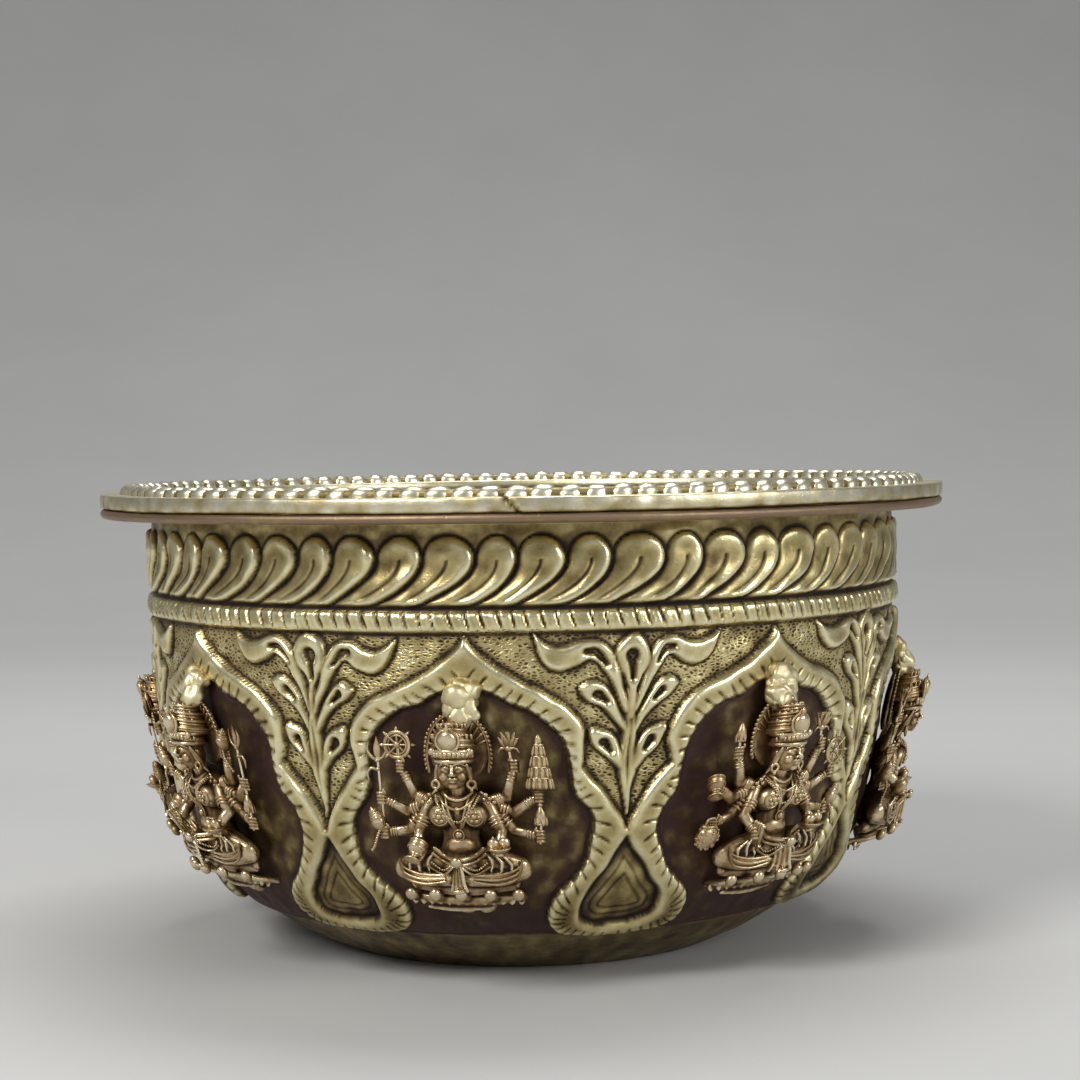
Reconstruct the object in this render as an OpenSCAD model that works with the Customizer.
// Ritual water bowl beaten from brass sheet. Eight seated figures, each cast by itself, sit in
// a ring of chased niches round the wall. A flat hoop and a beaded ring lie on the turned-out lip.
// Origin: centre of the flat base. +Z is up, -Y is the front, all lengths are millimetres.

/* [Bowl] */
// Outside diameter of the rim
rim_d = 200; // [170:1:245]
// Height of the bowl without the hoop and beads that lie on its lip
bowl_h = 102.4; // [85:0.1:125]
// Outside diameter of the upright neck
neck_d = 176; // [148:1:180]
// Diameter of the plain underside at the chased ring line
knee_d = 137.4; // [115:0.1:145]
// Diameter of the flat base
base_d = 96; // [78:1:116]
// Thickness of the beaten sheet
wall_t = 1.4; // [1:0.1:2]
// Thickness of the turned-out lip, where the sheet is folded back on itself
lip_t = 2.1; // [1.6:0.1:3]

/* [Chasing] */
// Height of the ring line above the base
knee_z = 12; // [9:0.5:15]
// Height at which the wall turns upright
shoulder_z = 76; // [64:1:80]
// How far the chased bands stand out from the wall
relief = 1.5; // [0.8:0.1:2]
// Height of the rope moulding
rope_h = 4.4; // [3:0.1:6]

/* [Rim] */
// Thickness of the flat hoop
hoop_t = 3.1; // [2:0.1:4.5]
// Thickness of the solder seam between lip and hoop
seam_t = 0.25; // [0.15:0.05:0.5]
// How far the seam lies back from the edge
seam_inset = 1.2; // [0.5:0.1:2]
// Diameter of the circle on which the beads stand
bead_ring_d = 186; // [184:1:190]
// Diameter of one bead
bead_d = 4.6; // [3:0.1:4.8]
// Number of beads
bead_count = 110; // [60:1:114]

/* [Figures] */
// Height of one casting from its plinth to the tip of its crown
figure_h = 43.5; // [36:0.5:53]
// Height of the castings' plinths above the base
figure_z = 20.9; // [17:0.1:24]
// Angle of the first niche from the front
first_niche = -7.7; // [-22.5:0.1:22.5]
// Radius of the solder lump over a crown
top_solder_r = 4.6; // [3:0.1:5.5]
// Radius of the solder lump under a plinth
foot_solder_r = 2.6; // [2:0.1:3.5]

/* [Hidden] */
FIGURES = ["figure_1", "figure_2", "figure_3", "figure_4",
           "figure_5", "figure_6", "figure_7", "figure_8"];

PITCH = 360 / len(FIGURES);
FINE = 96;
WALL_STEPS = 12;

neck_r = neck_d / 2;
knee_r = knee_d / 2;
rim_r = rim_d / 2;
mouth_r = neck_r - wall_t;
ring_groove = 2.2;
groove_r = knee_r - ring_groove;
groove_z = knee_z - 1;
rope_z = shoulder_z + rope_h * 0.85;
seam_z = bowl_h;
hoop_z = seam_z + seam_t;
bead_seat_t = 0.8;
bead_seat_z = hoop_z + hoop_t;

// The castings are drawn 42 high and scaled to figure_h
DRAWN_H = 42;
k = figure_h / DRAWN_H;

// Outside radius of the wall: a straight fall plus a tight turn just over the ring line
FALL = 0.57;
FALL_POWER = 1.4;
TURN_POWER = 8.7;
function below(z) = max(0, (shoulder_z - z) / (shoulder_z - knee_z));
function fall(t) = FALL * pow(t, FALL_POWER) + (1 - FALL) * pow(t, TURN_POWER);
function wall_r(z) = neck_r - (neck_r - knee_r) * fall(below(z));
function slope(z) = (wall_r(z + 0.05) - wall_r(z - 0.05)) / 0.1;

// A point at depth t inside the wall, square to its outside
function inside(z, t) = let (m = slope(z), n = sqrt(1 + m * m)) [wall_r(z) - t / n, z + t * m / n];
function wall(t, z0, z1) = [for (i = [0 : WALL_STEPS]) inside(z0 + (z1 - z0) * i / WALL_STEPS, t)];

// The underside is a cone from the base to the ring line
under = [groove_r - base_d / 2, groove_z];
under_n = [-under[1], under[0]] / norm(under);
groove_in = [groove_r, groove_z] + wall_t * under_n;
base_in_r = base_d / 2 + wall_t * under_n[0] + (wall_t - wall_t * under_n[1]) * under[0] / under[1];

// Lean of a casting: the chord of the wall behind it
top_z = figure_z + figure_h * 0.95;
lean = atan2(wall_r(top_z) - wall_r(figure_z), top_z - figure_z);

module outer_body() {
    rotate_extrude($fn = FINE)
        polygon(concat([[0, 0], [base_d / 2, 0], [groove_r, groove_z]],
                       wall(0, knee_z, shoulder_z), [[neck_r, bowl_h], [0, bowl_h]]));
}

module wall_skin(out, into) {
    rotate_extrude($fn = FINE)
        polygon(concat(wall(-out, knee_z + 1, shoulder_z),
                       [for (p = [WALL_STEPS : -1 : 0]) wall(into, knee_z + 1, shoulder_z)[p]]));
}

// The frame of a niche, right half. Points are [mm across at the neck, height above the base],
// drawn for a shoulder 76 high over a ring line 12 high and fitted to the real ones below.
// Neighbouring frames stop just short of each other, so a chased line parts them.
DRAWN_NECK_R = 88;
DRAWN_KNEE = 12;
DRAWN_SHOULDER = 76;
OUTER_EDGE = [[0, 76.5], [7.3, 70.5], [16, 66.2], [23.4, 61.4], [25.7, 55], [25.1, 50],
              [28.4, 46.4], [32, 40.5], [34.2, 36.5]];
BULB_EDGE = [[34.2, 32], [29.2, 25.9], [26.2, 22.5], [25, 20.2], [25.6, 18], [28, 16.8], [34.2, 16.4]];
NICHE_EDGE = [[34.2, 14.4], [24, 14.7], [19, 15.6], [17, 17.8], [17.2, 20.4], [19.2, 23],
              [24.5, 27.5], [27.4, 32.8], [26.6, 38.7], [22.4, 44.7], [21.8, 50.5], [19.5, 55.9], [13, 61.4],
              [7, 64.6], [0, 66.3]];
function blend(a, b, c, d, t) =
    0.5 * (2 * b + (c - a) * t + (2 * a - 5 * b + 4 * c - d) * t * t
           + (3 * b - a - 3 * c + d) * t * t * t);
function at(p, i) = p[max(0, min(len(p) - 1, i))];
function smooth(p) =
    concat([for (i = [0 : len(p) - 2], t = [0, 0.5]) blend(at(p, i - 1), p[i], p[i + 1], at(p, i + 2), t)],
           [p[len(p) - 1]]);
function on_wall(p) =
    let (z = knee_z + (p[1] - DRAWN_KNEE) / (DRAWN_SHOULDER - DRAWN_KNEE) * (shoulder_z - knee_z))
    [wall_r(z) * sin(p[0] / DRAWN_NECK_R * 180 / PI), z];
frame_line = [for (p = concat(smooth(OUTER_EDGE), smooth(BULB_EDGE), smooth(NICHE_EDGE))) on_wall(p)];

module niche_frame() {
    rotate([90, 0, 0])
        linear_extrude(height = rim_r)
            polygon(concat(frame_line, [for (i = [len(frame_line) - 2 : -1 : 1])
                                            [-frame_line[i][0], frame_line[i][1]]]));
}

module place(i) {
    rotate([0, 0, first_niche + i * PITCH]) children();
}

module seat(i) {
    place(i)
        translate([0, -wall_r(figure_z), figure_z])
            rotate([lean, 0, 0])
                scale(k)
                    children();
}

// The raised frame round one niche
module chased_frame(i) {
    place(i)
        intersection() {
            wall_skin(relief, wall_t / 2);
            niche_frame();
        }
}

module bowl_shell() {
    color([0.62, 0.55, 0.33])
        difference() {
            union() {
                rotate_extrude($fn = FINE)
                    polygon(concat([[0, 0], [base_d / 2, 0], [groove_r, groove_z]],
                                   wall(0, knee_z, shoulder_z),
                                   [[neck_r, bowl_h - lip_t], [rim_r, bowl_h - lip_t],
                                    [rim_r, bowl_h], [0, bowl_h]]));
                translate([0, 0, rope_z - rope_h / 2])
                    cylinder(h = rope_h, r = neck_r + relief, $fn = FINE);
                for (i = [0 : len(FIGURES) - 1])
                    chased_frame(i);
            }
            rotate_extrude($fn = FINE)
                polygon(concat([[0, wall_t], [base_in_r, wall_t], groove_in],
                               wall(wall_t, knee_z + 1.5, shoulder_z),
                               [[mouth_r, bowl_h + 1], [0, bowl_h + 1]]));
        }
}

module ring(r_in, r_out, h) {
    difference() {
        cylinder(h = h, r = r_out, $fn = FINE);
        translate([0, 0, -1]) cylinder(h = h + 2, r = r_in, $fn = FINE);
    }
}

module rim_solder() {
    color([0.25, 0.2, 0.13])
        translate([0, 0, seam_z])
            ring(mouth_r + seam_inset, rim_r - seam_inset, seam_t);
}

module rim_hoop() {
    color([0.72, 0.68, 0.45])
        translate([0, 0, hoop_z])
            ring(mouth_r, rim_r, hoop_t);
}

module bead_ring() {
    color([0.66, 0.58, 0.36])
        translate([0, 0, bead_seat_z]) {
            ring(bead_ring_d / 2 - bead_d * 0.36, bead_ring_d / 2 + bead_d * 0.36, bead_seat_t);
            for (i = [0 : bead_count - 1])
                rotate([0, 0, i * 360 / bead_count])
                    translate([bead_ring_d / 2, 0, 0])
                        intersection() {
                            sphere(d = bead_d, $fn = 32);
                            translate([0, 0, bead_d]) cube(bead_d * 2, center = true);
                        }
        }
}

// A limb from a to b with a fuller ball at each end, so that no two surfaces are tangent.
// Points are [across, outward, up] in the casting's own frame
JOINT = 1.15;
function out(p) = [p[0], -p[1], p[2]];
module rod(a, b, r) {
    v = out(b) - out(a);
    translate(out(a))
        rotate([0, acos(v[2] / norm(v)), atan2(v[1], v[0])])
            cylinder(h = norm(v), r = r, $fn = 24);
}
module limb(a, b, r) {
    rod(a, b, r);
    ball(a, r * JOINT);
    ball(b, r * JOINT);
}

module ball(p, r) {
    translate(out(p)) sphere(r = r, $fn = 24);
}

module upright(p, h, r1, r2) {
    translate(out(p)) cylinder(h = h, r1 = r1, r2 = r2, $fn = 24);
}

// Elbows and hands on one side, from the raised arm down to the arm in front of the body
ELBOWS = [[9.2, 3.2, 22.0], [10.5, 3.0, 18.8], [10.0, 3.0, 14.6], [7.6, 6.0, 14.6]];
HANDS = [[12.0, 3.8, 28.0], [15.8, 3.4, 21.8], [15.8, 3.4, 14.2], [7.6, 8.8, 11.6]];
SHOULDER = [5.6, 4.2, 20.6];

// What the hands hold, for each casting: four on the left side, then four on the right
HELD = [["wheel", "spear", "conch", "pot", "lotus", "sheaf", "conch", "fruit"],
        ["bud", "pot", "basket", "book", "lotus", "wheel", "conch", "fruit"],
        ["lotus", "spear", "conch", "pot", "lotus", "spear", "pot", "fruit"],
        ["wheel", "sheaf", "pot", "fruit", "conch", "spear", "bud", "pot"],
        ["lotus", "wheel", "pot", "fruit", "lotus", "conch", "basket", "pot"],
        ["bud", "spear", "conch", "fruit", "wheel", "sheaf", "pot", "pot"],
        ["lotus", "sheaf", "basket", "pot", "bud", "spear", "conch", "fruit"],
        ["wheel", "conch", "pot", "book", "conch", "spear", "bud", "fruit"]];

module held(what, p) {
    if (what == "wheel")
        translate(out(p + [0, 0, 3.4]))
            rotate([90, 0, 0])
                cylinder(h = 1.2, r = 2.9, center = true, $fn = 32);
    if (what == "spear") {
        limb(p + [0, 0, -5.5], p + [0, 0, 8], 0.6);
        upright(p + [0, 0, 7.5], 3.5, 1.3, 0.2);
    }
    if (what == "conch")
        upright(p + [0, 0, 0.6], 3.2, 1.7, 0.6);
    if (what == "pot")
        ball(p + [0, 0, 0.4], 2.1);
    if (what == "lotus" || what == "bud") {
        upright(p, 3, 0.6, 1.2);
        upright(p + [0, 0, 2.4], 3, 1.2, what == "lotus" ? 2.8 : 1.8);
    }
    if (what == "sheaf") {
        limb(p + [0, 0, -4], p + [0, 0, 2], 0.7);
        upright(p + [0, 0, 1], 10, 2.7, 0.4);
    }
    if (what == "basket")
        upright(p + [0, 0, -2.5], 4.4, 1.8, 2.6);
    if (what == "book")
        translate(out(p + [0, 0.6, 0.4])) cube([4.4, 1.6, 2.8], center = true);
    if (what == "fruit")
        ball(p + [0, 0.3, 0.8], 1.6);
}

function flip(p, turn) = [p[0] * turn, p[1], p[2]];
module arms(row, turn) {
    ball(flip(SHOULDER, turn), 2.3);
    for (j = [0 : 3]) {
        elbow = flip(ELBOWS[j], turn);
        hand = flip(HANDS[j], turn);
        rod(flip(SHOULDER, turn), elbow, 1.4);
        ball(elbow, 1.7);
        rod(elbow, hand, 1.15);
        ball(hand, 1.4);
        held(row[j], hand);
    }
}

module sitting_body() {
    // plinth, hips and folded legs
    translate([-10, -5.2, 0]) cube([20, 5.6, 1.6]);
    limb([-9.5, 4.4, 6.2], [1.5, 6.6, 4.4], 3.1);
    limb([9.5, 4.4, 6.2], [-1.5, 6.6, 4.4], 3.1);
    limb([-3.6, 3.2, 9.2], [3.6, 3.2, 9.2], 3.4);
    upright([0, 2.6, 0.8], 6, 4.6, 4.6);
    // waist, chest and breast ornaments
    upright([0, 3.4, 9], 8, 3.2, 4.2);
    limb([-3.4, 4.0, 18.8], [3.4, 4.0, 18.8], 3.3);
    ball([-3.3, 6.6, 18.2], 2.2);
    ball([3.3, 6.6, 18.2], 2.2);
    // neck, head, crown and the plate behind them
    upright([0, 4.4, 21], 4, 1.9, 1.7);
    ball([0, 6.4, 27.4], 3.7);
    upright([0, 5.6, 29], 3.4, 4.4, 4.2);
    upright([0, 5.2, 32], 6, 4.1, 2.6);
    ball([0, 9.2, 33.2], 1.9);
    upright([0, 4.6, 37.5], DRAWN_H - 37.5, 2.2, 1.6);
    translate([-6, -2.6, 24]) cube([12, 3, 14]);
    for (s = [-1, 1])
        upright([s * 4.1, 5.6, 23.6], 3.4, 0.9, 0.7);
    for (x = [-10, -5, 0, 5, 10])
        ball([x, 5.8 - abs(x) * 0.12, 1.6], 1.1);
}

module figure(i) {
    color([0.55, 0.42, 0.24])
        difference() {
            seat(i) {
                sitting_body();
                arms([for (j = [0 : 3]) HELD[i][j]], -1);
                arms([for (j = [4 : 7]) HELD[i][j]], 1);
            }
            outer_body();
        }
}

// Half a ball of solder at height z of a casting, its middle y out from the chord of the wall.
// It lies above the casting where up is 1 and below it where up is -1
module lump(i, y, z, r, up) {
    difference() {
        seat(i)
            translate(out([0, y, z]))
                intersection() {
                    sphere(r = r / k, $fn = 32);
                    translate([0, 0, up * r / k]) cube(2 * r / k, center = true);
                }
        outer_body();
        chased_frame(i);
    }
}

module top_solder() {
    color([0.78, 0.7, 0.42])
        for (i = [0 : len(FIGURES) - 1])
            lump(i, 2.2, DRAWN_H, top_solder_r, 1);
}

module foot_solder() {
    color([0.5, 0.42, 0.26])
        for (i = [0 : len(FIGURES) - 1])
            lump(i, 1, 0, foot_solder_r, -1);
}

bowl_shell();
rim_solder();
rim_hoop();
bead_ring();
for (i = [0 : len(FIGURES) - 1])
    figure(i);
top_solder();
foot_solder();
